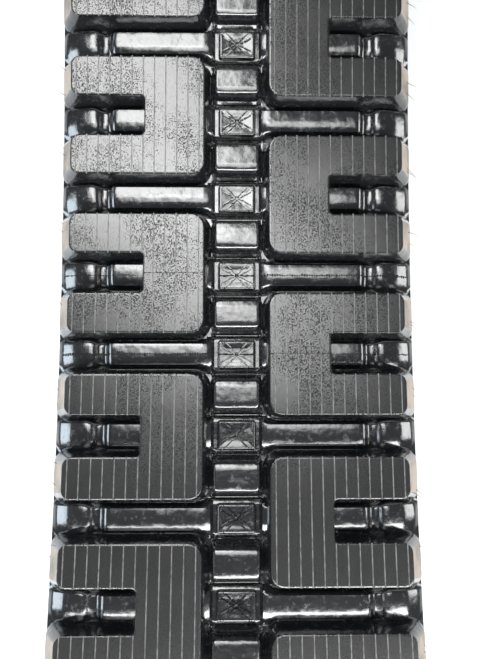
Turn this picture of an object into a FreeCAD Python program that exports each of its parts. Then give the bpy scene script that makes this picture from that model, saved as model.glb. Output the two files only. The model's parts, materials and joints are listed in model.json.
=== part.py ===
"""Endless rubber track for a compact track loader: 450 mm wide, 100 mm pitch, 48 links.

The loop lies in the XZ plane, as it rests on the ground: X along the loop, Y across the track,
Z up, with the origin on the ground below the middle of the loop. Twelve flexing sections carry
four links each.
A link has its own frame: x along the link, y across the track, z outwards from the neutral plane,
which is the middle of the steel cord belts. Millimetres throughout.
"""

import FreeCAD, Part
import math
import os

from FreeCAD import Placement, Rotation, Vector

SECTION_COUNT = 12
LINKS_PER_SECTION = 4
LINK_COUNT = SECTION_COUNT * LINKS_PER_SECTION
HALF_COUNT = LINK_COUNT // 2

# alias: (value, meaning)
DIMENSIONS = {
    "pitch": (100.0, "distance from one metal core to the next"),
    "track_width": (450.0, "overall width of the carcass"),
    "outer_face": (12.0, "neutral plane to the carcass's outer face"),
    "inner_face": (16.0, "neutral plane to the carcass's inner face"),
    "edge_chamfer": (4.0, "chamfer along the carcass's side edges"),
    "lug_top": (46.0, "neutral plane to the tread face of a lug"),
    "lug_inner": (40.0, "track centre line to a lug's inner end"),
    "lug_outer": (206.5, "track centre line to a lug's outer end"),
    "lug_arm": (49.0, "length of a lug's arm along the track"),
    "lug_spine": (75.0, "width of the spine that joins a lug's two arms"),
    "lug_draft": (6.0, "how far a lug's flanks spread at the foot"),
    "lug_end_draft": (13.0, "how far a lug's outer end spreads at the foot"),
    "lug_corner": (11.0, "plan radius of a lug's outer corners"),
    "spine_corner": (16.0, "plan radius of a lug's corner next to the centre"),
    "slot_corner": (6.0, "plan radius of the slot's inner corners"),
    "rib_root": (4.0, "neutral plane to a cross rib's root, inside the carcass"),
    "rib_top": (29.0, "neutral plane to the top of a cross rib"),
    "rib_crest": (24.0, "width of a cross rib's crest"),
    "rib_foot": (38.0, "width of a cross rib's foot"),
    "block_top": (38.0, "neutral plane to the top of a centre block"),
    "block_length": (36.0, "length of a centre block along the track"),
    "block_width": (54.0, "width of a centre block"),
    "pad_top": (25.0, "neutral plane to the top of a cross-ribbed pad"),
    "pad_length": (36.0, "length of a cross-ribbed pad along the track"),
    "pad_width": (46.0, "width of a cross-ribbed pad"),
    "centre_draft": (3.0, "how far centre blocks and pads spread at the foot"),
    "core_length": (384.0, "metal core from wing tip to wing tip"),
    "core_width": (44.0, "metal core along the track"),
    "core_top": (4.0, "neutral plane to the metal core's upper face"),
    "core_thick": (9.0, "thickness of the metal core's wings"),
    "horn_gap": (52.0, "clear width between a core's two guide horns"),
    "horn_thick": (30.0, "thickness of a guide horn at its root"),
    "horn_tip_thick": (17.0, "thickness of a guide horn at its tip"),
    "horn_tip_length": (22.0, "length of a guide horn's tip along the track"),
    "horn_root": (6.0, "straight root of a guide horn below the wings"),
    "horn_height": (48.0, "height of a guide horn below the wings"),
    "horn_round": (4.5, "radius of a guide horn's edges"),
    "belt_thick": (4.0, "thickness of a steel cord belt"),
    "belt_width": (112.0, "width of a steel cord belt"),
    "belt_centre": (118.0, "track centre line to the middle of a belt"),
    "window_length": (50.0, "sprocket window along the track"),
    "window_width": (46.0, "sprocket window across the track"),
    "window_roof": (4.0, "neutral plane to the roof of a sprocket window"),
    "end_gap": (3.0, "half the gap between two sections at the neutral plane"),
    "fit_gap": (0.1, "clearance of an embedded piece in its rubber"),
}
SAG_PER_LINK = 1.5  # degrees that each joint of the upper run bends inwards
SAG_LINKS = 4  # joints on each side of the top centre that carry the sag
FLAT_LINKS = 4  # joints on each side of the bottom centre that stay flat
BEND_SPAN = 16.0  # joints over which a loop end's bend rises and fades
INNER_BEVEL = 9.0  # degrees of bevel that let two sections fold inwards
REACH = 70.0  # how far trimming shapes reach from a link's neutral plane
OVERRUN = 20.0  # how far a piece runs past its link before it is trimmed

doc = FreeCAD.newDocument("rubber_track")
sheet = doc.addObject("Spreadsheet::Sheet", "sizes")
for row, (alias, (value, meaning)) in enumerate(DIMENSIONS.items(), 1):
    sheet.set(f"A{row}", meaning)
    sheet.set(f"B{row}", str(value))
    sheet.setAlias(f"B{row}", alias)
doc.recompute()


def size(alias):
    """A driving dimension, read from the spreadsheet."""
    return float(sheet.get(alias))


# ---------------------------------------------------------------- the loop's shape


def joint_angles(bend_centre):
    """Bend in degrees at each joint from the top centre (0) to the bottom centre (HALF_COUNT)."""
    phases = [2 * math.pi * (k - bend_centre) / BEND_SPAN for k in range(HALF_COUNT + 1)]
    bend = [0.5 * (1 + math.cos(phase)) for phase in phases]
    sag = [0.0] * (HALF_COUNT + 1)
    for k in range(HALF_COUNT + 1):
        in_sag = k <= SAG_LINKS
        in_flat = k >= HALF_COUNT - FLAT_LINKS
        if in_sag or in_flat or abs(k - bend_centre) >= BEND_SPAN / 2:
            bend[k] = 0.0
        if in_sag:
            sag[k] = -SAG_PER_LINK
    half_turn = 180.0 - sum(sag[1:]) - sag[0] / 2
    return [s + b * half_turn / sum(bend) for s, b in zip(sag, bend)]


def joint_points(angles):
    """Joint positions (x, z) and link directions (radians) round the whole loop, from the top centre."""
    whole = angles + angles[-2:0:-1]
    points = [(0.0, 0.0)]
    headings = []
    heading = -math.radians(whole[0]) / 2
    for k in range(LINK_COUNT):
        x, z = points[-1]
        headings.append(heading)
        points.append((x + size("pitch") * math.cos(heading), z + size("pitch") * math.sin(heading)))
        heading -= math.radians(whole[(k + 1) % LINK_COUNT])
    return points, headings, whole


def closed_loop():
    """Shifts the end bends until the half loop ends below its start, which closes the loop."""
    low, high = HALF_COUNT / 2 - 2, HALF_COUNT / 2 + 2
    for _ in range(60):
        middle = (low + high) / 2
        ends_right = joint_points(joint_angles(middle))[0][HALF_COUNT][0] > 0
        starts_right = joint_points(joint_angles(low))[0][HALF_COUNT][0] > 0
        if ends_right == starts_right:
            low = middle
        else:
            high = middle
    points, headings, whole = joint_points(joint_angles(low))
    ground = min(z for _, z in points) - size("lug_top")
    return [(x, z - ground) for x, z in points], headings, whole


JOINTS, HEADINGS, BENDS = closed_loop()


def link_placement(k):
    """From link k's own frame to the loop."""
    (x0, z0), (x1, z1) = JOINTS[k], JOINTS[(k + 1) % LINK_COUNT]
    turn = Rotation(Vector(0, 1, 0), -math.degrees(HEADINGS[k]))
    return Placement(Vector((x0 + x1) / 2, 0, (z0 + z1) / 2), turn)


def is_section_end(joint):
    return joint % LINKS_PER_SECTION == 0


def link_side(k, end, height):
    """x of link k's boundary at one end (+1 or -1), at a height above the neutral plane."""
    joint = (k + 1) % LINK_COUNT if end > 0 else k
    half = size("pitch") / 2
    if is_section_end(joint):
        bevel = min(height, 0.0) * math.tan(math.radians(INNER_BEVEL))
        return end * (half - size("end_gap") + bevel)
    return end * (half + height * math.tan(math.radians(BENDS[joint] / 2)))


def link_slab(k, bottom, top, half_width):
    """The space that belongs to link k between two heights, in the link's frame."""
    heights = sorted({bottom, 0.0, top}) if bottom < 0 < top else [bottom, top]
    right = [Vector(link_side(k, 1, z), -half_width, z) for z in heights]
    left = [Vector(link_side(k, -1, z), -half_width, z) for z in reversed(heights)]
    outline = Part.makePolygon(right + left + right[:1])
    return Part.Face(outline).extrude(Vector(0, 2 * half_width, 0))


# ---------------------------------------------------------------- building helpers


def bind(thing, **expressions):
    """Binds an object's properties to expressions on the sheet."""
    for name, expression in expressions.items():
        thing.setExpression(name, expression)


def frustum(name, bottom, foot, top, crest):
    """A block that tapers from a foot rectangle to a crest one, each (x0, x1, y0, y1) in sheet terms."""
    wedge = doc.addObject("Part::Wedge", name)
    bind(wedge, Ymin=bottom, Ymax=top)
    bind(wedge, Xmin=foot[0], Xmax=foot[1], Zmin=f"-({foot[3]})", Zmax=f"-({foot[2]})")
    bind(wedge, X2min=crest[0], X2max=crest[1], Z2min=f"-({crest[3]})", Z2max=f"-({crest[2]})")
    wedge.Placement = Placement(Vector(), Rotation(Vector(1, 0, 0), 90))
    return wedge


def rounded_outline(corners, height):
    """The edges of a closed outline at a height, through (x, y, radius) corners."""
    points = [Vector(x, y, height) for x, y, _ in corners]
    count = len(points)
    arcs, arrivals, departures = [], [], []
    for i, (_, _, radius) in enumerate(corners):
        to_last = (points[i - 1] - points[i]).normalize()
        to_next = (points[(i + 1) % count] - points[i]).normalize()
        arrive, leave = points[i] + to_last * radius, points[i] + to_next * radius
        arrivals.append(arrive)
        departures.append(leave)
        if radius > 0:
            centre = arrive + to_next * radius
            middle = centre + (points[i] - centre).normalize() * radius
            arcs.append([Part.Arc(arrive, middle, leave).toShape()])
        else:
            arcs.append([])
    edges = []
    for i in range(count):
        edges += arcs[i] + [Part.makeLine(departures[i], arrivals[(i + 1) % count])]
    return edges


def drafted_solid(foot, crest):
    """The solid between two outlines with matching edges; straight edges get flat sides."""
    faces = [Part.Face(Part.Wire(foot)), Part.Face(Part.Wire(crest))]
    for low, high in zip(foot, crest):
        if low.Curve.TypeId == "Part::GeomLine":
            a, b = (v.Point for v in low.Vertexes)
            c, d = (v.Point for v in high.Vertexes)
            faces.append(Part.Face(Part.makePolygon([a, b, d, c, a])))
        else:
            faces.append(Part.makeRuledSurface(low, high))
    solid = Part.makeSolid(Part.makeShell(faces))
    return solid if solid.Volume > 0 else solid.reversed()


# ---------------------------------------------------------------- pieces in a link's own frame


def make_half_lug():
    """One arm of a C-shaped lug and half of its spine, on the +y side, with the spine towards +x."""
    half_arm, end = size("lug_arm") / 2, size("pitch") / 2 + OVERRUN
    inner, outer = size("lug_inner"), size("lug_outer")
    slot = inner + size("lug_spine")

    def corners(draft, end_draft):
        return [
            (-half_arm - draft, inner - draft, size("spine_corner")),
            (end, inner - draft, 0),
            (end, slot + draft, 0),
            (half_arm + draft, slot + draft, size("slot_corner")),
            (half_arm + draft, outer + end_draft, size("lug_corner")),
            (-half_arm - draft, outer + end_draft, size("lug_corner")),
        ]

    foot = rounded_outline(corners(size("lug_draft"), size("lug_end_draft")), size("outer_face"))
    crest = rounded_outline(corners(0, 0), size("lug_top"))
    half_lug = doc.addObject("Part::Feature", "half_lug")
    half_lug.Shape = drafted_solid(foot, crest)
    return half_lug


def make_half_rib(name, inner):
    """The half of a cross rib at a link's +x end, from y = inner to the carcass's edge."""
    end = f"sizes.pitch / 2 + {OVERRUN}"
    edge = "sizes.track_width / 2 - sizes.edge_chamfer"
    foot = ("sizes.pitch / 2 - sizes.rib_foot / 2", end, inner, edge)
    crest = ("sizes.pitch / 2 - sizes.rib_crest / 2", end, inner, f"{edge} - sizes.centre_draft")
    return frustum(name, "sizes.rib_root", foot, "sizes.rib_top", crest)


def make_centre_block():
    """The plain raised block over the middle of a metal core."""
    half_x, half_y, draft = "sizes.block_length / 2", "sizes.block_width / 2", "sizes.centre_draft"
    crest = (f"-{half_x}", half_x, f"-{half_y}", half_y)
    foot = (f"-{half_x} - {draft}", f"{half_x} + {draft}", f"-{half_y} - {draft}", f"{half_y} + {draft}")
    return frustum("centre_block", "sizes.outer_face", foot, "sizes.block_top", crest)


def make_half_pad():
    """The half of a cross-ribbed centre pad that lies on one link, at its +x end."""
    start, end = "sizes.pitch / 2 - sizes.pad_length / 2", f"sizes.pitch / 2 + {OVERRUN}"
    half_y, draft = "sizes.pad_width / 2", "sizes.centre_draft"
    crest = (start, end, f"-{half_y}", half_y)
    foot = (f"{start} - {draft}", end, f"-{half_y} - {draft}", f"{half_y} + {draft}")
    return frustum("half_pad", "sizes.outer_face", foot, "sizes.pad_top", crest)


def bound_box(name, length, width, height, x, y, z):
    """A box with its size and its low corner given in sheet terms."""
    box = doc.addObject("Part::Box", name)
    bind(box, Length=length, Width=width, Height=height)
    box.setExpression(".Placement.Base.x", x)
    box.setExpression(".Placement.Base.y", y)
    box.setExpression(".Placement.Base.z", z)
    return box


CORE_BOTTOM = "(-sizes.core_top - sizes.core_thick)"
HORN_START = f"({CORE_BOTTOM} - sizes.horn_root)"
SLOT_RIB_START = "sizes.lug_inner + sizes.lug_spine + sizes.lug_draft + sizes.slot_corner / 3"


def core_parts(name, margin):
    """A core's wings and the roots of its horns, grown by a margin on every side."""
    half_x, half_y = f"(sizes.core_width / 2 + {margin})", f"(sizes.core_length / 2 + {margin})"
    depth = f"sizes.core_thick + 2 * {margin}"
    length, width = f"2 * {half_x}", f"2 * {half_y}"
    wing_start = (f"-{half_x}", f"-{half_y}", f"{CORE_BOTTOM} - {margin}")
    parts = [bound_box(name + "_wings", length, width, depth, *wing_start)]
    near, far = f"(sizes.horn_gap / 2 - {margin})", f"(sizes.horn_gap / 2 + sizes.horn_thick + {margin})"
    for tag, low in (("_left_root", near), ("_right_root", f"-{far}")):
        root_size = (length, f"{far} - {near}", "2 * sizes.horn_root")
        parts.append(bound_box(name + tag, *root_size, f"-{half_x}", low, HORN_START))
    return parts


def make_horn(name, side):
    """A guide horn on the +y or -y side, pointing into the loop, with its edges rounded."""
    half_x = "sizes.core_width / 2"
    half_tip_x, half_tip_y = "sizes.horn_tip_length / 2", "sizes.horn_tip_thick / 2"
    middle, half_y = f"({side} * (sizes.horn_gap + sizes.horn_thick) / 2)", "sizes.horn_thick / 2"
    tip = (f"-{half_tip_x}", half_tip_x, f"{middle} - {half_tip_y}", f"{middle} + {half_tip_y}")
    root = (f"-{half_x}", half_x, f"{middle} - {half_y}", f"{middle} + {half_y}")
    wedge = frustum(name + "_wedge", f"{CORE_BOTTOM} - sizes.horn_height", tip, HORN_START, root)
    doc.recompute()
    root_height = wedge.Shape.BoundBox.ZMax
    rounds = []
    for number, edge in enumerate(wedge.Shape.Edges, 1):
        if edge.BoundBox.ZMin < root_height - size("horn_round"):
            rounds.append((number, size("horn_round"), size("horn_round")))
    horn = doc.addObject("Part::Fillet", name)
    horn.Base = wedge
    horn.Edges = rounds
    return horn


def fused(name, parts):
    whole = doc.addObject("Part::MultiFuse", name)
    whole.Shapes = parts
    whole.Refine = True
    doc.recompute()
    return whole


def make_core():
    """A forged metal core: two wings and two guide horns with rounded edges."""
    parts = core_parts("core", "0 * sizes.fit_gap")
    return fused("metal_core", parts + [make_horn("left_horn", 1), make_horn("right_horn", -1)])


def make_core_hollow():
    """The hollow in the rubber that a metal core sits in."""
    return fused("core_hollow", core_parts("hollow", "sizes.fit_gap"))


def mirrored(shape, across_x, across_y):
    """The shape mirrored in the link's frame, across x, y or both."""
    for flip, normal in ((across_x, Vector(1, 0, 0)), (across_y, Vector(0, 1, 0))):
        if flip:
            shape = shape.mirror(Vector(0, 0, 0), normal)
    return shape


half_lug = make_half_lug()
gap_rib = make_half_rib("gap_rib", "sizes.lug_inner")
slot_rib = make_half_rib("slot_rib", SLOT_RIB_START)
centre_block = make_centre_block()
half_pad = make_half_pad()
metal_core = make_core()
core_hollow = make_core_hollow()
doc.recompute()


# ---------------------------------------------------------------- the sections


def section_links(section):
    first = section * LINKS_PER_SECTION
    return range(first, first + LINKS_PER_SECTION)


def on_link(shape, k):
    """A copy of a shape from link k's frame, put in its place on the loop."""
    placed = shape.copy()
    placed.Placement = link_placement(k).multiply(placed.Placement)
    return placed


def trimmed(shape, k):
    """The part of a shape, in link k's frame, that lies on link k."""
    return shape.common(link_slab(k, -REACH, REACH, size("track_width")))


def joined_over(section, piece_at):
    """Fuses what piece_at(k, end) gives for the two link ends at each joint inside a section."""
    solids = []
    links = section_links(section)
    for k in links:
        for end in (-1, 1):
            joint = (k + 1) % LINK_COUNT if end > 0 else k
            piece = on_link(trimmed(piece_at(k, end), k), k)
            if end < 0 and not is_section_end(joint):
                piece = solids.pop().fuse(piece).removeSplitter()
            solids.append(piece)
    return solids


def spine_end(k, side):
    """The end of link k, +1 or -1, that a lug's spine crosses on one side of the track."""
    return side if k % 2 == 0 else -side


def half_lug_at(k, end, side):
    return mirrored(half_lug.Shape, spine_end(k, side) < 0, side < 0)


def lug_solids(section):
    """Every C-shaped lug on a section. One lug of each section's ends is split by the joint."""
    solids = []
    for side in (1, -1):
        waiting = None
        for k in section_links(section):
            arm = on_link(trimmed(half_lug_at(k, 1, side), k), k)
            if spine_end(k, side) > 0:
                waiting = arm
                continue
            solids.append(waiting.fuse(arm).removeSplitter() if waiting else arm)
            waiting = None
        if waiting:
            solids.append(waiting)
    return solids


def rib_pair_at(k, end):
    """Both sides' rib halves at one end of a link: long in a gap between lugs, short in a lug's slot."""
    halves = []
    for side in (1, -1):
        rib = slot_rib if spine_end(k, side) == end else gap_rib
        halves.append(mirrored(rib.Shape, end < 0, side < 0))
    return Part.makeCompound(halves)


def half_pad_at(k, end):
    return mirrored(half_pad.Shape, end < 0, False)


def slab_run(section, bottom, top, low_y, high_y):
    """A layer that follows a section's links between two heights, from low_y to high_y."""
    slabs = []
    for k in section_links(section):
        slab = link_slab(k, bottom, top, (high_y - low_y) / 2)
        slab.translate(Vector(0, (high_y + low_y) / 2, 0))
        slabs.append(on_link(slab, k))
    return slabs[0].multiFuse(slabs[1:]).removeSplitter()


def window_at(k, end):
    """The sprocket window's half that lies on one link, cut from the inside."""
    length = size("window_length") / 2 + OVERRUN
    start = size("pitch") / 2 - size("window_length") / 2
    depth = size("window_roof") + REACH / 2
    corner = Vector(start, -size("window_width") / 2, -REACH / 2)
    return mirrored(Part.makeBox(length, size("window_width"), depth, corner), end < 0, False)


def belt_edges(side, margin):
    middle = side * size("belt_centre")
    half = size("belt_width") / 2 + margin
    return middle - half, middle + half


def link_band(k):
    """The rubber band of one link, before ribs and hollows, with chamfered side edges."""
    half, cut = size("track_width") / 2, size("edge_chamfer")
    low, high = -size("inner_face"), size("outer_face")
    right = [(half - cut, low), (half, low + cut), (half, high - cut), (half - cut, high)]
    left = [(-y, z) for y, z in reversed(right)]
    corners = [Vector(-size("pitch"), y, z) for y, z in right + left]
    profile = Part.Face(Part.makePolygon(corners + corners[:1]))
    return trimmed(profile.extrude(Vector(2 * size("pitch"), 0, 0)), k)


def carcass_solid(section):
    """The rubber band of a section with its cross ribs, windows, and the hollows for cores and belts."""
    bands = [on_link(link_band(k), k) for k in section_links(section)]
    ribs = []
    hollows = []
    tunnels = []
    margin = size("fit_gap")
    for k in section_links(section):
        hollows.append(on_link(core_hollow.Shape, k))
        for end in (-1, 1):
            ribs += [on_link(trimmed(s, k), k) for s in rib_pair_at(k, end).Solids]
            hollows.append(on_link(window_at(k, end), k))
    for side in (1, -1):
        half_thick = size("belt_thick") / 2 + margin
        low, high = belt_edges(side, margin)
        tunnels.append(slab_run(section, -half_thick, half_thick, low, high))
    carcass = bands[0].multiFuse(bands[1:] + ribs)
    for hollow in hollows + tunnels:
        carcass = carcass.cut(hollow)
    return carcass.removeSplitter()


def section_nodes(section):
    """Node name: list of solids, for one section."""
    number = f"{section + 1:02d}"
    half_belt = size("belt_thick") / 2
    belts = [slab_run(section, -half_belt, half_belt, *belt_edges(side, 0.0)) for side in (1, -1)]
    blocks = [on_link(centre_block.Shape, k) for k in section_links(section)]
    return {
        f"carcass_{number}": [carcass_solid(section)],
        f"tread_lugs_{number}": lug_solids(section),
        f"centre_pads_{number}": blocks + joined_over(section, half_pad_at),
        f"metal_cores_{number}": [on_link(metal_core.Shape, k) for k in section_links(section)],
        f"cord_belts_{number}": belts,
    }


# ---------------------------------------------------------------- checks and files

nodes = []
for section in range(SECTION_COUNT):
    for label, shapes in section_nodes(section).items():
        node = doc.addObject("Part::Feature", label)
        node.Label = label
        node.Shape = Part.makeCompound([solid for shape in shapes for solid in shape.Solids])
        nodes.append(node)
doc.recompute()
for thing in doc.Objects:
    if "Invalid" in thing.State or "Error" in thing.State:
        raise RuntimeError(f"{thing.Name} failed: {thing.State}")
for node in nodes:
    if node.Shape.isNull() or not node.Shape.isValid():
        raise RuntimeError(f"{node.Label} has a bad shape")
os.makedirs("parts", exist_ok=True)
for node in nodes:
    node.Shape.exportStep(f"parts/{node.Label}.step")
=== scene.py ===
"""The looks of the rubber track: rubber over the CAD's twelve hinged sections, floor, lights and camera.

Rubber is shaped flat, in millimetres, as (s, y, h). s runs along the loop from the hinge at its top centre,
y runs across the track and h runs outwards from the neutral plane. on_loop() bends it onto the loop, in
metres.
"""

import json
import math
import random

import bmesh
import bpy
import numpy as np
from mathutils import Matrix, Vector


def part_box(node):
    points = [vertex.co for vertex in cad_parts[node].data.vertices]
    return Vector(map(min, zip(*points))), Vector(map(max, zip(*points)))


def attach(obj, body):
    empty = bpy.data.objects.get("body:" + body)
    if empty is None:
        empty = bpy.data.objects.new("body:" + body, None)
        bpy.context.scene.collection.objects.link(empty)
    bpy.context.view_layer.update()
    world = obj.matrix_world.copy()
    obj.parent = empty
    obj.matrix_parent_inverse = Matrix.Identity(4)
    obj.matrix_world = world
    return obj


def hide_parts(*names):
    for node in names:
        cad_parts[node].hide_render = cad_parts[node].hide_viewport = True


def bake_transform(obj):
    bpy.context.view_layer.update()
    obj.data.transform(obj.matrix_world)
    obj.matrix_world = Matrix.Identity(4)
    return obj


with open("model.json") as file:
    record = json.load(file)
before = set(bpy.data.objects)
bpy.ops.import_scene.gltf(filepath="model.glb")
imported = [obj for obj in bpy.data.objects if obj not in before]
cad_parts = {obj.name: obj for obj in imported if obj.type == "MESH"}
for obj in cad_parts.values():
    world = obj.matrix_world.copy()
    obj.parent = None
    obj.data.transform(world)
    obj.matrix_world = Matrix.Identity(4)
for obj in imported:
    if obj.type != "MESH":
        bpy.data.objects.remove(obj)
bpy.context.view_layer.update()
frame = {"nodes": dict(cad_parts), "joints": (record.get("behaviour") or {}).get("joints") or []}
MM = 0.001

# ---------------------------------------------------------------- sizes

PITCH = 100.0  # one link
SECTIONS = 12
SECTION_LINKS = 4
LINKS = SECTIONS * SECTION_LINKS
OPEN_JOINT = LINKS // 2  # the pivot that no hinge holds, at the middle of the ground run
HALF_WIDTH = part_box("carcass_06")[1][1] / MM
HINGE_HEIGHTS = {joint["name"]: joint["pos_m"][2] / MM for joint in frame["joints"]}
CORD_HEIGHT = HINGE_HEIGHTS["flex_06"]  # a hinge of the flat ground run
LUG_TOP = CORD_HEIGHT  # the ground run lies flat, so its neutral plane is a lug's height above the ground

SAG = 1.5  # degrees of inward bend at each joint of the upper run
SAG_JOINTS = 4
FLAT_JOINTS = 4
BEND_SPAN = 16.0
FLEX = 25.0  # a joint's bend is spread this far to each side of it
SEAM = 27.0  # flexing rubber meets a section's rigid rubber this far from the joint

LUG_INNER = 40.0
LUG_OUTER = 206.5
LUG_HALF = 74.5
SLOT_HALF = 25.5
SLOT_INNER = 115.0
FLOOR_H = 12.5  # carcass outer face, between ribs
INNER_H = -16.0  # carcass inner face
EDGE_RISE = 6.0  # how far the inner face rounds off at the track's edges
PATH_STEP = 1.8  # height of the roller paths
COLLAR_STEP = 4.0  # height of the collars round the guide horns
WINDOW_FLOOR = 3.0  # web left across a sprocket window
BAR_H = 28.5
COLUMN_HALF = 29.0
COLUMN_H = 19.0
BLOCK_SIZE = (37.0, 56.0, 38.0)  # length, width, height above the neutral plane
PAD_SIZE = (35.0, 46.0, 25.0)
RIB_SPACING = 13.9
RIB_COUNT = 12
SEAM_JOINTS = (0, 1)  # the mould closed over these two joints, and left its line there
OPEN_GAP = 0.6  # clearance on each side of the open pivot, which doesn't bend

# ---------------------------------------------------------------- the loop


def joint_bends(centre):
    """Bend in degrees at each joint from the top centre to the bottom centre."""
    half = LINKS // 2
    bend = [0.5 * (1 + math.cos(2 * math.pi * (k - centre) / BEND_SPAN)) for k in range(half + 1)]
    for k in range(half + 1):
        if k <= SAG_JOINTS or k >= half - FLAT_JOINTS or abs(k - centre) >= BEND_SPAN / 2:
            bend[k] = 0.0
    total = 180.0 + SAG * (SAG_JOINTS + 0.5)
    bend = [b * total / sum(bend) for b in bend]
    return [-SAG if k <= SAG_JOINTS else bend[k] for k in range(half + 1)]


def joint_line(bends):
    """Joint positions and link headings round the loop, from a joint at (0, 0)."""
    whole = bends + bends[-2:0:-1]
    points, headings = [(0.0, 0.0)], []
    heading = -math.radians(whole[0]) / 2
    for k in range(LINKS):
        x, z = points[-1]
        headings.append(heading)
        points.append((x + PITCH * math.cos(heading), z + PITCH * math.sin(heading)))
        heading -= math.radians(whole[(k + 1) % LINKS])
    return points, headings, whole


def solve_loop():
    """Moves the end bends until the loop closes."""
    low, high = LINKS / 4 - 2, LINKS / 4 + 2

    def overshoot(centre):
        return joint_line(joint_bends(centre))[0][LINKS // 2][0]

    for _ in range(60):
        middle = (low + high) / 2
        if (overshoot(low) > 0) == (overshoot(middle) > 0):
            low = middle
        else:
            high = middle
    points, headings, whole = joint_line(joint_bends(low))
    lift = CORD_HEIGHT - min(z for _, z in points)
    return np.array([(x, z + lift) for x, z in points[:LINKS]]), np.array(headings), np.radians(whole)


JOINT_AT, HEADING, BEND = solve_loop()


def check_against_frame():
    """Stops if the rubber's line misses the CAD's hinges."""
    hinges = np.array([[j["pos_m"][0] / MM, j["pos_m"][2] / MM] for j in frame["joints"]])
    for hinge in hinges:
        miss = np.linalg.norm(JOINT_AT - hinge, axis=1).min()
        if miss > 0.05:
            raise ValueError(f"the loop misses a hinge by {miss:.2f} mm")


check_against_frame()


def on_loop(flat):
    """Bends an array of (s, y, h) in millimetres onto the loop, as (x, y, z) in metres."""
    s, y, h = np.asarray(flat, float).T
    joint = np.rint(s / PITCH).astype(int)
    along = s - joint * PITCH
    joint %= LINKS
    before = HEADING[joint - 1]
    bend = np.where(np.abs(BEND[joint]) < 1e-6, 1e-6, BEND[joint])
    radius = FLEX / np.tan(bend / 2)
    share = np.clip((along + FLEX) / (2 * FLEX), 0, 1)
    heading = before - bend * share
    start = JOINT_AT[joint] - FLEX * np.stack([np.cos(before), np.sin(before)], 1)
    arc_x = radius * (np.sin(before) - np.sin(heading))
    arc_z = radius * (np.cos(heading) - np.cos(before))
    straight = np.minimum(along + FLEX, 0) + np.maximum(along - FLEX, 0)
    x = start[:, 0] + arc_x + straight * np.cos(heading) - h * np.sin(heading)
    z = start[:, 1] + arc_z + straight * np.sin(heading) + h * np.cos(heading)
    return np.stack([x, y, z], 1) * MM


# ---------------------------------------------------------------- materials


def new_material(name):
    material = bpy.data.materials.new(name)
    material.use_nodes = True
    tree = material.node_tree
    return material, tree, tree.nodes["Principled BSDF"]


def add_node(tree, kind, inputs=None, **settings):
    node = tree.nodes.new(kind)
    for key, value in settings.items():
        setattr(node, key, value)
    for key, value in (inputs or {}).items():
        if isinstance(value, bpy.types.NodeSocket):
            tree.links.new(value, node.inputs[key])
        else:
            node.inputs[key].default_value = value
    return node


def noise(tree, scale, detail=3.0, rough=0.55, stretch=(1, 1, 1)):
    """Noise over the object's own space, in features per metre."""
    place = add_node(tree, "ShaderNodeTexCoord").outputs["Object"]
    mapped = add_node(tree, "ShaderNodeMapping", {"Vector": place, "Scale": stretch})
    inputs = {"Vector": mapped.outputs[0], "Scale": scale, "Detail": detail, "Roughness": rough}
    return add_node(tree, "ShaderNodeTexNoise", inputs).outputs["Fac"]


def specks(tree, scale, cover):
    """Round specks of random size, 1 inside them and 0 outside, more of them where cover is high."""
    place = add_node(tree, "ShaderNodeTexCoord").outputs["Object"]
    cells = add_node(tree, "ShaderNodeTexVoronoi", {"Vector": place, "Scale": scale})
    chance = add_node(tree, "ShaderNodeSeparateColor", {"Color": cells.outputs["Color"]}).outputs[0]
    reach = math_node(tree, "MULTIPLY", chance, cover)
    return ramp(tree, math_node(tree, "SUBTRACT", cells.outputs["Distance"], reach), -0.05, 0.05, 1.0, 0.0)


def ramp(tree, value, low, high, start, end):
    """Maps value from low..high to start..end, clamped."""
    inputs = {"Value": value, "From Min": low, "From Max": high, "To Min": start, "To Max": end}
    return add_node(tree, "ShaderNodeMapRange", inputs, interpolation_type="SMOOTHSTEP").outputs[0]


def math_node(tree, operation, a, b):
    node = add_node(tree, "ShaderNodeMath", {0: a, 1: b}, operation=operation)
    return node.outputs[0]


def mix_colour(tree, factor, a, b):
    """Mixes two colours: a where factor is 0 and b where it is 1."""
    node = tree.nodes.new("ShaderNodeMix")
    node.data_type = "RGBA"
    for name, kind, value in (("Factor", "VALUE", factor), ("A", "RGBA", a), ("B", "RGBA", b)):
        socket = next(i for i in node.inputs if i.name == name and i.type == kind)
        if isinstance(value, bpy.types.NodeSocket):
            tree.links.new(value, socket)
        else:
            socket.default_value = value
    return next(o for o in node.outputs if o.type == "RGBA")


def bump(tree, height, strength, distance):
    inputs = {"Height": height, "Strength": strength, "Distance": distance}
    return add_node(tree, "ShaderNodeBump", inputs).outputs[0]


def grey(value, tint=0.0):
    """A grey with a slight blue tint."""
    return (value * (1 - tint), value, value * (1 + tint), 1.0)


def make_tread_rubber():
    """Lug faces: charcoal with a dusty, finely speckled sheen that thins out in patches."""
    material, tree, shader = new_material("tread_rubber")
    patch = noise(tree, 16.0, 3.0, 0.6)
    streak = noise(tree, 60.0, 3.0, 0.6, (0.3, 1.0, 1.0))
    pits = specks(tree, 800.0, ramp(tree, patch, 0.32, 0.64, 0.30, 0.90))
    dust = ramp(tree, streak, 0.35, 0.7, 0.0, 1.0)
    dusty = mix_colour(tree, dust, grey(0.003, 0.02), grey(0.006, 0.0))
    colour = mix_colour(tree, pits, dusty, grey(0.002, 0.05))
    tree.links.new(colour, shader.inputs["Base Color"])
    tree.links.new(ramp(tree, pits, 0.0, 1.0, 0.26, 0.46), shader.inputs["Roughness"])
    tree.links.new(ramp(tree, pits, 0.0, 1.0, 0.82, 0.25), shader.inputs["Specular IOR Level"])
    return material


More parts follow.
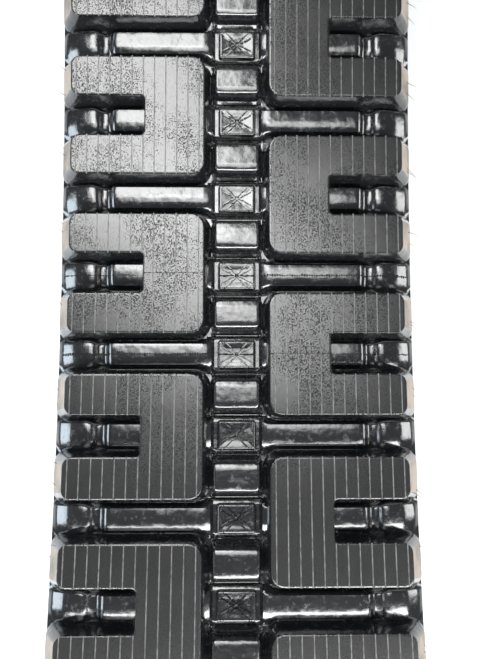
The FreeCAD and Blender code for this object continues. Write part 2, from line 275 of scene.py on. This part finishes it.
def make_gloss_rubber():
    """Ribs, blocks, pads and flanks: moulded black rubber with a wet-looking skin and soft waviness."""
    material, tree, shader = new_material("gloss_rubber")
    wave = noise(tree, 45.0, 2.0, 0.5)
    grain = noise(tree, 600.0, 2.0, 0.6)
    scuff = ramp(tree, noise(tree, 130.0, 4.0, 0.7), 0.52, 0.72, 0.0, 1.0)
    colour = mix_colour(tree, scuff, grey(0.006, 0.10), grey(0.016, 0.04))
    tree.links.new(colour, shader.inputs["Base Color"])
    tree.links.new(ramp(tree, scuff, 0.0, 1.0, 0.20, 0.38), shader.inputs["Roughness"])
    shader.inputs["Specular IOR Level"].default_value = 0.6
    shader.inputs["Coat Weight"].default_value = 0.6
    shader.inputs["Coat Roughness"].default_value = 0.12
    relief = math_node(tree, "ADD", wave, math_node(tree, "MULTIPLY", grain, 0.06))
    tree.links.new(bump(tree, relief, 0.7, 0.0025), shader.inputs["Normal"])
    return material


def make_flank_rubber():
    """The lugs' outer ends: the same black rubber, with a painted tan reflection of the surroundings in
    cloudy patches.
    """
    material, tree, shader = new_material("flank_rubber")
    cloud = noise(tree, 30.0, 4.0, 0.6)
    grain = noise(tree, 500.0, 2.0, 0.6)
    # painted tan reflection: cloudy patches of tan over the black rubber of the outward faces
    painted_tan_reflection = ramp(tree, cloud, 0.30, 0.62, 0.35, 1.0)
    colour = mix_colour(tree, painted_tan_reflection, grey(0.05), (0.27, 0.23, 0.19, 1.0))
    tree.links.new(colour, shader.inputs["Base Color"])
    shader.inputs["Roughness"].default_value = 0.6
    tree.links.new(bump(tree, grain, 0.2, 0.0004), shader.inputs["Normal"])
    return material


def make_rib_rubber():
    """The thin mould ribs on the lug faces: far paler than the faces, and paler still in random patches."""
    material, tree, shader = new_material("rib_rubber")
    pale_patches = noise(tree, 160.0, 3.0, 0.6)
    colour = mix_colour(tree, ramp(tree, pale_patches, 0.35, 0.62, 0.0, 1.0), grey(0.045), grey(0.11))
    tree.links.new(colour, shader.inputs["Base Color"])
    shader.inputs["Roughness"].default_value = 0.35
    tree.links.new(bump(tree, pale_patches, 0.3, 0.0003), shader.inputs["Normal"])
    return material


def make_torn_rubber():
    """Flash and vent hairs: dull black rubber, torn rather than moulded."""
    material, tree, shader = new_material("torn_rubber")
    tear = noise(tree, 400.0, 4.0, 0.7)
    colour = mix_colour(tree, tear, grey(0.002), grey(0.012))
    tree.links.new(colour, shader.inputs["Base Color"])
    tree.links.new(ramp(tree, tear, 0.3, 0.7, 0.6, 0.9), shader.inputs["Roughness"])
    shader.inputs["Specular IOR Level"].default_value = 0.15
    return material


def make_inner_rubber():
    """The face that the rollers run on: matt rubber, scuffed grey in long streaks."""
    material, tree, shader = new_material("inner_rubber")
    cloud = noise(tree, 12.0, 4.0, 0.6)
    grain = noise(tree, 500.0, 3.0, 0.65)
    streak = noise(tree, 70.0, 3.0, 0.6, (0.08, 1.0, 1.0))
    scuffed = mix_colour(tree, ramp(tree, streak, 0.45, 0.75, 0.0, 1.0), grey(0.010), grey(0.030))
    dirt = ramp(tree, cloud, 0.45, 0.75, 0.0, 0.6)
    colour = mix_colour(tree, dirt, scuffed, (0.052, 0.046, 0.040, 1.0))
    tree.links.new(colour, shader.inputs["Base Color"])
    tree.links.new(ramp(tree, cloud, 0.3, 0.7, 0.5, 0.75), shader.inputs["Roughness"])
    tree.links.new(bump(tree, grain, 0.3, 0.0005), shader.inputs["Normal"])
    return material


def make_forged_steel():
    """The guide horns and core wings: dark forged steel with scale."""
    material, tree, shader = new_material("forged_steel")
    scale = noise(tree, 70.0, 5.0, 0.65)
    pits = noise(tree, 420.0, 3.0, 0.6)
    bare = ramp(tree, scale, 0.45, 0.66, 0.0, 1.0)
    colour = mix_colour(tree, bare, (0.055, 0.047, 0.042, 1.0), (0.20, 0.19, 0.18, 1.0))
    tree.links.new(colour, shader.inputs["Base Color"])
    tree.links.new(ramp(tree, bare, 0.0, 1.0, 0.65, 0.38), shader.inputs["Roughness"])
    shader.inputs["Metallic"].default_value = 0.75
    tree.links.new(bump(tree, math_node(tree, "ADD", scale, pits), 0.3, 0.0008), shader.inputs["Normal"])
    return material


def make_cord_steel():
    """Brass-plated steel cords side by side, running along the belt."""
    material, tree, shader = new_material("cord_steel")
    place = add_node(tree, "ShaderNodeTexCoord").outputs["Object"]
    inputs = {"Vector": place, "Scale": 120.0, "Distortion": 0.4, "Detail": 1.0}
    cords = add_node(tree, "ShaderNodeTexWave", inputs, bands_direction="Y").outputs["Fac"]
    colour = mix_colour(tree, cords, (0.10, 0.08, 0.05, 1.0), (0.55, 0.45, 0.28, 1.0))
    tree.links.new(colour, shader.inputs["Base Color"])
    shader.inputs["Metallic"].default_value = 0.9
    shader.inputs["Roughness"].default_value = 0.35
    tree.links.new(bump(tree, cords, 0.6, 0.001), shader.inputs["Normal"])
    return material


def make_floor_paint():
    material, tree, shader = new_material("floor_paint")
    mottle = noise(tree, 3.0, 2.0, 0.5)
    colour = mix_colour(tree, mottle, grey(0.60), grey(0.63))
    tree.links.new(colour, shader.inputs["Base Color"])
    shader.inputs["Roughness"].default_value = 0.8
    return material


TREAD = make_tread_rubber()
GLOSS = make_gloss_rubber()
FLANK = make_flank_rubber()
RIB = make_rib_rubber()
TORN = make_torn_rubber()
INNER = make_inner_rubber()
RUBBERS = [TREAD, GLOSS, FLANK, RIB, TORN, INNER]
TREAD_I, GLOSS_I, FLANK_I, RIB_I, TORN_I, INNER_I = range(len(RUBBERS))

# ---------------------------------------------------------------- flat shapes


class Flat:
    """A flat mesh: (s, y, h) vertices, faces, and a material number for each face."""

    def __init__(self):
        self.vertices = []
        self.faces = []
        self.materials = []

    def add(self, vertices, faces, materials):
        base = len(self.vertices)
        self.vertices += [tuple(v) for v in vertices]
        self.faces += [[base + i for i in face] for face in faces]
        self.materials += [materials] * len(faces) if isinstance(materials, int) else list(materials)

    def moved(self, joint, side=1):
        """A copy moved to a joint, mirrored across the track for side -1."""
        copy = Flat()
        copy.vertices = [(s + joint * PITCH, y * side, h) for s, y, h in self.vertices]
        copy.faces = [face[::side] for face in self.faces]
        copy.materials = list(self.materials)
        return copy

    def sliced(self, stations):
        """A copy cut across at each station, so that it can bend there."""
        work = self.to_bmesh()
        for station in stations:
            everything = work.verts[:] + work.edges[:] + work.faces[:]
            bmesh.ops.bisect_plane(work, geom=everything, plane_co=(station, 0, 0), plane_no=(1, 0, 0))
        return Flat.from_bmesh(work)

    def half(self, end, clearance):
        """The part at one end of s = 0, cut back by a clearance and capped."""
        work = self.to_bmesh()
        everything = work.verts[:] + work.edges[:] + work.faces[:]
        cut = bmesh.ops.bisect_plane(
            work, geom=everything, plane_co=(end * clearance, 0, 0), plane_no=(-end, 0, 0), clear_outer=True
        )
        rim = [e for e in cut["geom_cut"] if isinstance(e, bmesh.types.BMEdge)]
        bmesh.ops.edgeloop_fill(work, edges=rim, mat_nr=GLOSS_I)
        return Flat.from_bmesh(work)

    def to_bmesh(self):
        work = bmesh.new()
        vertices = [work.verts.new(v) for v in self.vertices]
        for face, material in zip(self.faces, self.materials):
            made = work.faces.new([vertices[i] for i in face])
            made.material_index = material
        work.normal_update()
        return work

    @staticmethod
    def from_bmesh(work):
        work.verts.index_update()
        flat = Flat()
        faces = [[v.index for v in f.verts] for f in work.faces]
        flat.add([v.co[:] for v in work.verts], faces, [f.material_index for f in work.faces])
        work.free()
        return flat


def joined(flats):
    whole = Flat()
    for flat in flats:
        whole.add(flat.vertices, flat.faces, flat.materials)
    return whole


def make_piece(name, flat, nodes, sharp=38.0):
    """A Blender object from a flat shape, bent onto the loop."""
    mesh = bpy.data.meshes.new(name)
    mesh.from_pydata(on_loop(flat.vertices).tolist(), [], flat.faces)
    for material in RUBBERS:
        mesh.materials.append(material)
    mesh.polygons.foreach_set("material_index", flat.materials)
    mesh.shade_smooth()
    mesh.set_sharp_from_angle(angle=math.radians(sharp))
    mesh.update()
    piece = bpy.data.objects.new(name, mesh)
    bpy.context.scene.collection.objects.link(piece)
    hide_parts(*nodes)
    return piece


def smooth(value, low, high):
    t = np.clip((np.asarray(value, float) - low) / (high - low), 0, 1)
    return t * t * (3 - 2 * t)


def eased(value, stops, heights):
    """Like np.interp, but level at every stop, so that the profile has rounded shoulders."""
    index = np.clip(np.searchsorted(stops, value, side="right") - 1, 0, len(stops) - 2)
    low, high = np.take(stops, index), np.take(stops, index + 1)
    share = smooth((value - low) / (high - low), 0, 1)
    heights = np.asarray(heights, float)
    return heights[index] + (heights[index + 1] - heights[index]) * share


# ---------------------------------------------------------------- the band

# Across the track, from the centre column to the edge: a bar, a dip, a hump and a step down to the edge.
CREST_STOPS = [31, 37, 154, 157, 163, 166, 172, 178, 183, 190, 204, 218, HALF_WIDTH]
CREST_HEIGHTS = [BAR_H - 2, BAR_H, BAR_H, BAR_H - 1, 21, 20, 20.5, 24.5, 25.5, 25, 22.5, 16, 8]
CREST_HALF_WIDTHS = ([31, 42, 150, 168, 188, HALF_WIDTH], [18.5, 13.0, 13.0, 12.0, 16.5, 16])
CREST_FLANKS = ([31, 42, 150, 170, HALF_WIDTH], [6, 6, 6, 7, 7])
LEADING_CROWN = 0.015  # how fast a crest falls away on its +s side, by the square of the distance
TRAILING_CROWN = 1.6e-5  # and on its -s side, by the fourth power


def outer_height(along, across):
    """Height of the carcass's outer face, at a distance from the nearest joint and from the centre line."""
    a, d = np.abs(across), np.abs(along)
    fall = np.where(np.asarray(along) > 0, LEADING_CROWN * d**2, TRAILING_CROWN * d**4)
    crest = np.interp(a, CREST_STOPS, CREST_HEIGHTS) - fall
    crest_half, flank = eased(a, *CREST_HALF_WIDTHS), eased(a, *CREST_FLANKS)
    floor = eased(a, [COLUMN_HALF, 205, HALF_WIDTH], [FLOOR_H, FLOOR_H, 7.5])
    height = floor + np.maximum(crest - floor, 0) * (1 - smooth((d - crest_half) / flank, 0, 1))
    column = 1 - smooth(a, COLUMN_HALF - 1, COLUMN_HALF + 2.5)
    column_height = COLUMN_H - 9.0 * (1 - smooth(np.abs(d - PITCH / 4), 1, 5))
    return height * (1 - column) + column_height * column


def inner_height(along, across):
    """Height of the carcass's inner face: roller paths, sprocket windows and collars round the horns."""
    a, d = np.abs(across), np.abs(along)
    edge = smooth(a, HALF_WIDTH - 7, HALF_WIDTH)
    path = smooth(a, 66, 70) * (1 - smooth(a, 150, 154))
    collar = smooth(d, 24, 27) * smooth(a, 20, 23.5) * (1 - smooth(a, 59, 63))
    window = (1 - smooth(d, 23.6, 25.2)) * (1 - smooth(a, 21.8, 23.4))
    height = INNER_H + EDGE_RISE * edge - PATH_STEP * path - COLLAR_STEP * collar
    return height + (WINDOW_FLOOR - height) * window


# Where the skin has vertices: close together at the edges of windows, collars, roller paths, bars and humps.
ACROSS = [0, 7, 14, 20, 21.8, 22.6, 23.4, 25, 28, 29.5, 31.5, 34, 38, 44, 52, 59, 61, 63]
ACROSS += [66, 68, 70, 85, 100, 115, 130, 145, 150, 154, 155.5, 157, 159, 161, 163, 165, 168]
ACROSS += [172, 174, 176, 178, 180, 183, 186, 190, 196, 202, 205, 210, 215, 218, 221.5, HALF_WIDTH]
STATIONS = [-48, -40, -32, -SEAM, -25.2, -24.4, -23.6, -21, -18, -16, -14.5, -13, -11.5, -10, -8, -5, 0]
STATIONS += [-station for station in STATIONS[-2::-1]]


def band_ring(along, shift=0.0):
    """One closed ring of (s, y, h) round the band, as it is at a distance from its joint, shifted along s."""
    across = np.array([-a for a in ACROSS[:0:-1]] + ACROSS)
    outer = np.stack([np.full(len(across), along), across, outer_height(along, across)], 1)
    inner = np.stack([np.full(len(across), along), across[::-1], inner_height(along, across[::-1])], 1)
    ring = np.concatenate([outer, inner])
    ring[:, 0] += shift
    return ring


def band_strip(rings, cap_start=False, cap_end=False):
    """Skin over a run of rings."""
    count = len(rings[0])
    faces, materials = [], []
    for r in range(len(rings) - 1):
        low, high = r * count, (r + 1) * count
        for i in range(count):
            j = (i + 1) % count
            faces.append([low + i, high + i, high + j, low + j])
            materials.append(GLOSS_I if i < count // 2 - 1 else INNER_I)
    if cap_start:
        faces.append(list(range(count)))
    if cap_end:
        faces.append(list(range((len(rings) - 1) * count, len(rings) * count))[::-1])
    materials += [INNER_I] * (len(faces) - len(materials))
    strip = Flat()
    strip.add(np.concatenate(rings).tolist(), faces, materials)
    return strip


def band_between(first, last):
    """Rings from `first` to `last`, both distances along the loop in millimetres."""
    rings = []
    joint = math.floor(first / PITCH)
    while joint * PITCH - PITCH / 2 <= last:
        for station in STATIONS + [PITCH / 2]:
            s = joint * PITCH + station
            if first - 0.01 <= s <= last + 0.01:
                rings.append(band_ring(station, joint * PITCH))
        joint += 1
    return rings


# ---------------------------------------------------------------- lugs


def corner_arc(x, y, radius, start, turn, segments=6):
    """Points round a corner at (x, y). start is the arriving direction; turn is +1 for left, -1 for right."""
    arrive = np.array([math.cos(start), math.sin(start)])
    leave = np.array([math.cos(start + turn * math.pi / 2), math.sin(start + turn * math.pi / 2)])
    centre = np.array([x, y]) - arrive * radius + leave * radius
    points = []
    for i in range(segments + 1):
        angle = i / segments * math.pi / 2
        points.append(centre - leave * radius * math.cos(angle) + arrive * radius * math.sin(angle))
    return points


def lug_outline(side_grow, end_grow, corner_grow):
    """The C's plan outline, grown by a draft: (s, y) points."""
    half, slot = LUG_HALF + side_grow, SLOT_HALF - side_grow
    inner, slot_inner = LUG_INNER - side_grow, SLOT_INNER + side_grow
    outer = LUG_OUTER + end_grow
    wide, narrow, notch = 16 + corner_grow, 11 + corner_grow * 0.6, max(6 - corner_grow * 0.2, 3)
    east, north, west, south = 0, math.pi / 2, math.pi, -math.pi / 2
    return (
        corner_arc(half, inner, wide, east, 1)
        + corner_arc(half, outer, narrow, north, 1)
        + corner_arc(slot, outer, narrow, west, 1)
        + corner_arc(slot, slot_inner, notch, south, -1)
        + corner_arc(-slot, slot_inner, notch, west, -1)
        + corner_arc(-slot, outer, narrow, north, 1)
        + corner_arc(-half, outer, narrow, west, 1)
        + corner_arc(-half, inner, wide, south, 1)
    )


LUG_RINGS = [  # side draft, end draft, corner growth, height below the tread face
    (-2.4, -2.4, -2.4, 0.0),
    (-1.2, -1.2, -1.2, 0.0),
    (-0.35, -0.35, -0.35, 0.35),
    (0.0, 0.0, 0.0, 1.2),
    (4.6, 15.0, 4.0, 27.0),
    (5.6, 17.0, 5.0, 30.5),
    (8.0, 18.0, 7.0, 34.0),
    (8.4, 18.2, 7.4, 40.0),
]


def rib_ends(y):
    """The stretches of s that a mould rib crosses on a lug's face at y."""
    over = 0.5  # a rib's end stands this far proud of the face's edge

    def cut(distance, radius):
        """How much a rounded corner shortens a stretch, at a distance from the edge."""
        short = max(radius - distance, 0.0)
        return radius - math.sqrt(max(radius * radius - short * short, 0.0))

    if y < SLOT_INNER - 1:
        trim = cut(y - LUG_INNER, 16.0)
        return [(-LUG_HALF + trim - over, LUG_HALF - trim + over)]
    trim = cut(LUG_OUTER - y, 11.0)
    return [(end * (SLOT_HALF + trim - over), end * (LUG_HALF - trim + over)) for end in (-1, 1)]


def add_bar(flat, start, end, width, low, high, material, taper=0.6):
    """A low bar with a trapezoid section, from start to end in (s, y)."""
    start, end = np.array(start, float), np.array(end, float)
    run = (end - start) / np.linalg.norm(end - start)
    out = np.array([-run[1], run[0]]) * width / 2
    corners = []
    for point, inset in ((start, 1), (end, -1)):
        for side, height, reach in ((1, low, 1.0), (1, high, taper), (-1, high, taper), (-1, low, 1.0)):
            shift = run * inset * (high - low) * 0.4 if height == high else 0
            p = point + out * side * reach + shift
            corners.append((p[0], p[1], height))
    faces = [[0, 4, 5, 1], [1, 5, 6, 2], [2, 6, 7, 3], [3, 7, 4, 0], [0, 1, 2, 3], [7, 6, 5, 4]]
    flat.add(corners, [f[::-1] for f in faces], material)


def make_lug():
    """A C-shaped lug on the +y side, centred on a joint."""
    lug = Flat()
    rings = [lug_outline(side, end, corner) for side, end, corner, _ in LUG_RINGS]
    count = len(rings[0])
    vertices = []
    for ring, (_, _, _, drop) in zip(rings, LUG_RINGS):
        vertices += [(p[0], p[1], LUG_TOP - drop) for p in ring]
    faces, materials = [list(range(count))], [TREAD_I]
    for r in range(len(rings) - 1):
        for i in range(count):
            j = (i + 1) % count
            faces.append([r * count + j, r * count + i, (r + 1) * count + i, (r + 1) * count + j])
            middle = (rings[0][i] + rings[0][j]) / 2
            # the outward faces of the lug's end take the flank rubber, with its painted tan reflection
            outward = middle[1] > LUG_OUTER - 2.6 and r >= 3
            materials.append(FLANK_I if outward else (TREAD_I if r < 3 else GLOSS_I))
    lug.add(vertices, faces, materials)
    for i in range(RIB_COUNT):
        y = LUG_INNER + (i + 0.5) * RIB_SPACING
        for start, end in rib_ends(y):
            add_bar(lug, (start, y), (end, y), 1.8, LUG_TOP - 0.4, LUG_TOP + 0.8, RIB_I, 0.3)
    return lug


# ---------------------------------------------------------------- centre blocks and pads


def rounded_block(length, width, top, foot, edge, corner, crown, draft=2.2):
    """A drafted block with rounded edges and a crowned top."""
    def outline(grow):
        half_s, half_y, radius = length / 2 + grow, width / 2 + grow, max(corner + grow, 0.6)
        quarter = math.pi / 2
        return (
            corner_arc(half_s, -half_y, radius, 0, 1, 4)
            + corner_arc(half_s, half_y, radius, quarter, 1, 4)
            + corner_arc(-half_s, half_y, radius, 2 * quarter, 1, 4)
            + corner_arc(-half_s, -half_y, radius, 3 * quarter, 1, 4)
        )

    steps = [(draft + 3.0, foot), (draft, foot + 3.0), (0.0, top - edge)]
    for i in range(1, 5):
        angle = i / 4 * math.pi / 2
        steps.append((-edge * (1 - math.cos(angle)), top - edge + edge * math.sin(angle)))
    steps.append((-edge - 1, top))
    steps.append((-min(length, width) * 0.28, top + crown))
    rings = [outline(grow) for grow, _ in steps]
    count = len(rings[0])
    vertices = [(p[0], p[1], h) for ring, (_, h) in zip(rings, steps) for p in ring]
    faces = []
    for r in range(len(rings) - 1):
        for i in range(count):
            j = (i + 1) % count
            faces.append([r * count + i, r * count + j, (r + 1) * count + j, (r + 1) * count + i])
    faces.append(list(range((len(rings) - 1) * count, len(rings) * count)))
    block = Flat()
    block.add(vertices, faces, GLOSS_I)
    return block


BLOCK_STATIONS = [-15, -13, -11, -9, -5, 0, 5, 9, 11, 13, 15]


def make_block():
    """The plain block, centred on a link: half a pitch from its joint."""
    length, width, top = BLOCK_SIZE
    foot = COLUMN_H - 5
    block = rounded_block(length, width, top, foot, 3.4, 5.0, 0.0).sliced(BLOCK_STATIONS)
    crowned = []
    for s, y, h in block.vertices:
        droop = 0.02 * max(abs(s) - 8.0, 0.0) ** 2 * (h - foot) / (top - foot)
        crowned.append((s + PITCH / 2, y, h - droop))
    block.vertices = crowned
    return block


def make_pad():
    """The low dished pad on a joint, with a raised diagonal cross."""
    length, width, top = PAD_SIZE
    pad = rounded_block(length, width, top, COLUMN_H - 5, 2.4, 3.0, -1.0, 1.5)
    for petal in petals((length / 2 - 3.0, width / 2 - 3.5)):
        for start, end in zip(petal, petal[1:]):
            add_bar(pad, start, end, 2.6, top - 2.0, top + 1.6, GLOSS_I, 0.45)
    return pad


def petals(corner):
    """Outlines of the cross's four hollow arms: thin at the middle, round towards each corner."""
    outlines = []
    for sign_s, sign_y in ((1, 1), (1, -1), (-1, 1), (-1, -1)):
        reach = np.array([sign_s * corner[0], sign_y * corner[1]])
        length = np.linalg.norm(reach)
        run = reach / length
        side = np.array([-run[1], run[0]])
        shape = [(0.8, 0.8), (9, 2.4), (length - 4, 3.8), (length - 1.4, 2.6), (length - 0.4, 0)]
        shape += [(along, -across) for along, across in shape[-2::-1]]
        outlines.append([run * along + side * across for along, across in shape])
    return outlines


# ---------------------------------------------------------------- moulding marks

LUCK = random.Random(7)


def add_hair(flat, root, reach, thick=0.6):
    """A vent hair: a thin tapering rod of torn rubber that droops from its root."""
    root, reach = np.array(root, float), np.array(reach, float)
    steps, sides = 5, 3
    rings = []
    for i in range(steps + 1):
        share = i / steps
        middle = root + reach * share + np.array([0, 0, -2.5]) * share * share
        radius = thick * (1 - 0.7 * share)
        for j in range(sides):
            angle = 2 * math.pi * j / sides
            rings.append(middle + radius * np.array([math.cos(angle), 0, math.sin(angle)]))
    faces = []
    for i in range(steps):
        for j in range(sides):
            k = (j + 1) % sides
            faces.append([i * sides + j, i * sides + k, (i + 1) * sides + k, (i + 1) * sides + j])
    faces += [list(range(sides))[::-1], [steps * sides + j for j in range(sides)]]
    flat.add(rings, faces, TORN_I)


def add_hairs(lug, side):
    """Vent hairs along a lug's outer end, slanting one way on each side of the track."""
    hairs = Flat()
    for arm in (-1, 1):
        for _ in range(2):
            s = arm * 50 + LUCK.uniform(-20, 20)
            root = (s, LUG_OUTER + LUCK.uniform(8, 11), LUG_TOP - LUCK.uniform(22, 28))
            length = LUCK.uniform(13, 20)
            reach = (side * length * LUCK.uniform(0.3, 0.9), length * 0.85, LUCK.uniform(0, 4))
            add_hair(hairs, root, reach)
    return joined([lug, hairs])


def torn_line(start, end, height, widest, wander, pieces):
    """A wandering line of flash across the rubber, from start to end in (s, y)."""
    flash = Flat()
    start, end = np.array(start, float), np.array(end, float)
    knots = [start + (end - start) * i / pieces for i in range(pieces + 1)]
    knots = [k + np.array([LUCK.uniform(-wander, wander), 0]) for k in knots]
    for a, b in zip(knots, knots[1:]):
        lift = height((a + b) / 2)
        add_bar(flash, a, b, LUCK.uniform(0.35, 1) * widest, lift - 1.0, lift + 0.5, TORN_I)
    return flash


# ---------------------------------------------------------------- assembly

BEND_STATIONS = [-65, -55, -45, -35, -30, -25, -20, -15, -10, -5, 0, 5, 10, 15, 20, 25, 30, 35, 45, 55, 65]
LUG = make_lug().sliced(BEND_STATIONS)
PAD = make_pad().sliced([-15, -10, -5, 0, 5, 10, 15])
BLOCK = make_block()


def body_name(section):
    return f"section_{section % SECTIONS + 1:02d}"


def node_number(section):
    return f"{section % SECTIONS + 1:02d}"


def lug_side(joint):
    """Lugs are staggered: even joints carry one on the -y side, odd joints on the +y side."""
    return 1 if joint % 2 else -1


def lug_at(joint):
    """The lug on a joint, with its vent hairs and any mould seam."""
    side = lug_side(joint)
    lug = add_hairs(LUG, side)
    if joint in SEAM_JOINTS:
        start, end = (0, LUG_INNER + 1), (0, SLOT_INNER - 1)
        lug = joined([lug, torn_line(start, end, lambda point: LUG_TOP, 1.6, 0.1, 16)])
    return lug.moved(joint, side)


def crest_height(point):
    return float(outer_height(np.array([point[0]]), np.array([point[1]]))[0])


def flash_at(joint):
    """The mould's closing line along a joint's ribs: on the side without a lug, and in the lug's slot."""
    side = lug_side(joint)
    open_side = torn_line((0, 31), (0, 218), crest_height, 5.0, 0.8, 60).moved(joint, -side)
    slot = torn_line((0, SLOT_INNER + 8), (0, 218), crest_height, 3.0, 0.5, 34).moved(joint, side)
    half_pad = PAD_SIZE[1] / 2
    pad = torn_line((0, -half_pad), (0, half_pad), lambda point: PAD_SIZE[2] + 1.4, 2.4, 0.4, 16)
    return joined([open_side, slot, pad.moved(joint)])


def add_section(section):
    """The rubber that stays with one section: four links less the stretches at its two ends."""
    first = section * SECTION_LINKS
    number, body = node_number(section), body_name(section)
    inner_joints = range(first + 1, first + SECTION_LINKS)
    rings = band_between(first * PITCH + SEAM, (first + SECTION_LINKS) * PITCH - SEAM)
    flashes = [flash_at(joint) for joint in inner_joints if joint in SEAM_JOINTS]
    skin = joined([band_strip(rings)] + flashes)
    band = make_piece(f"band_{number}", skin, [f"carcass_{number}"])
    lugs = joined([lug_at(joint) for joint in inner_joints])
    tread = make_piece(f"lugs_{number}", lugs, [f"tread_lugs_{number}"])
    blocks = [BLOCK.moved(first + i) for i in range(SECTION_LINKS)]
    pads = [PAD.moved(joint) for joint in inner_joints]
    centre = make_piece(f"centre_{number}", joined(blocks + pads), [f"centre_pads_{number}"])
    for piece in (band, tread, centre):
        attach(piece, body)


def add_flex(joint):
    """The rubber over the hinge between two sections, shaped round the loop's bend there."""
    section = joint // SECTION_LINKS
    old, new = node_number(section - 1), node_number(section)
    tag = f"{old}_{new}"
    rings = band_between(joint * PITCH - SEAM, joint * PITCH + SEAM)
    flash = flash_at(joint)  # shaped at every hinge, so that the later random draws stay the same
    skin = joined([band_strip(rings), flash] if joint in SEAM_JOINTS else [band_strip(rings)])
    band = make_piece(f"flex_band_{tag}", skin, [f"carcass_{old}", f"carcass_{new}"])
    lug = lug_at(joint)
    tread = make_piece(f"flex_lug_{tag}", lug, [f"tread_lugs_{old}", f"tread_lugs_{new}"])
    pad = PAD.moved(joint)
    centre = make_piece(f"flex_pad_{tag}", pad, [f"centre_pads_{old}", f"centre_pads_{new}"])
    start, end = on_loop([(joint * PITCH - FLEX, 0, 0), (joint * PITCH + FLEX, 0, 0)])
    for piece in (band, tread, centre):
        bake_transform(piece)


def add_open_end(end):
    """The rubber at one side of the open pivot."""
    section = OPEN_JOINT // SECTION_LINKS + (0 if end > 0 else -1)
    number, body = node_number(section), body_name(section)
    rings = [band_ring(0, end * OPEN_GAP)]
    rings += [band_ring(-end * s) for s in STATIONS if s <= -5 and s >= -SEAM][::-1]
    rings = rings if end > 0 else rings[::-1]
    strip = band_strip(rings, cap_start=end > 0, cap_end=end < 0).moved(OPEN_JOINT)
    band = make_piece(f"end_band_{number}", strip, [f"carcass_{number}"])
    lug = LUG.half(end, OPEN_GAP).moved(OPEN_JOINT, lug_side(OPEN_JOINT))
    tread = make_piece(f"end_lug_{number}", lug, [f"tread_lugs_{number}"])
    pad = PAD.half(end, OPEN_GAP).moved(OPEN_JOINT)
    centre = make_piece(f"end_pad_{number}", pad, [f"centre_pads_{number}"])
    for piece in (band, tread, centre):
        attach(piece, body)


for section in range(SECTIONS):
    add_section(section)
    if section * SECTION_LINKS != OPEN_JOINT:
        add_flex(section * SECTION_LINKS)
for end in (-1, 1):
    add_open_end(end)

FORGED = make_forged_steel()
CORD = make_cord_steel()
for name, node in frame["nodes"].items():
    for kind, material in (("metal_cores", FORGED), ("cord_belts", CORD)):
        if name.startswith(kind):
            for slot in node.material_slots:
                slot.material = material

# ---------------------------------------------------------------- floor, lights and camera


def add_floor():
    """A wide plain floor, just low enough for the mould ribs that stand proud of the lugs."""
    mesh = bpy.data.meshes.new("floor")
    reach = 12.0
    drop = -0.001
    corners = [(-reach, -reach, drop), (reach, -reach, drop), (reach, reach, drop), (-reach, reach, drop)]
    mesh.from_pydata(corners, [], [[0, 1, 2, 3]])
    mesh.materials.append(make_floor_paint())
    floor = bpy.data.objects.new("floor", mesh)
    bpy.context.scene.collection.objects.link(floor)


def add_light(name, place, aim, size, radiance, colour=(1, 1, 1)):
    """A rectangular softbox whose face is `radiance` times as bright as a white world of strength 1."""
    light = bpy.data.lights.new(name, "AREA")
    light.shape = "RECTANGLE"
    light.size, light.size_y = size
    light.energy = radiance * math.pi * size[0] * size[1]
    light.color = colour
    thing = bpy.data.objects.new(name, light)
    thing.location = place
    direction = Vector(aim) - Vector(place)
    thing.rotation_euler = direction.to_track_quat("-Z", "Y").to_euler()
    bpy.context.scene.collection.objects.link(thing)


def add_world(strength, backdrop):
    """Even light of one strength all round, behind a backdrop that the camera sees as another."""
    world = bpy.data.worlds.new("studio")
    bpy.context.scene.world = world
    world.use_nodes = True
    tree = world.node_tree
    shade = tree.nodes["Background"]
    shade.inputs["Color"].default_value = (0.95, 0.97, 1.0, 1.0)
    seen = add_node(tree, "ShaderNodeLightPath").outputs["Is Camera Ray"]
    tree.links.new(ramp(tree, seen, 0.0, 1.0, strength, backdrop), shade.inputs["Strength"])


def add_camera():
    """Above the upper run, a little towards +X, looking down, with -X up in the picture."""
    camera = bpy.data.cameras.new("camera")
    camera.lens = 32.85
    camera.sensor_width = 36.0
    thing = bpy.data.objects.new("camera", camera)
    place, aim = Vector((0.1295, 0.001, 1.360)), Vector((0.0661, 0.0134, 0.5835))
    thing.location = place
    look = (aim - place).normalized()
    up = (Vector((-1, 0, 0)) + look * look.x).normalized()
    right = look.cross(up)
    axes = Matrix((right, up, -look)).transposed()
    thing.rotation_euler = axes.to_euler()
    bpy.context.scene.collection.objects.link(thing)
    bpy.context.scene.camera = thing


add_floor()
add_world(0.17, 0.6)
add_light("key", (-0.95, -0.52, 2.5), (-0.93, -0.52, 0.6), (1.0, 1.1), 12.0)
add_light("fill", (-0.28, 0.02, 2.5), (-0.26, 0.02, 0.6), (0.9, 0.6), 8.0)
add_light("window", (0.3, -2.6, 1.6), (0, 0, 0.4), (1.8, 1.4), 10.0, (0.80, 0.91, 1.0))
add_light("front", (1.15, 0.1, 1.55), (0.3, 0, 0.6), (2.0, 0.55), 20.0)
add_light("right", (-0.2, 2.6, 1.6), (0, 0, 0.4), (1.8, 1.2), 9.0)
add_camera()
bpy.context.scene.view_settings.view_transform = "Standard"
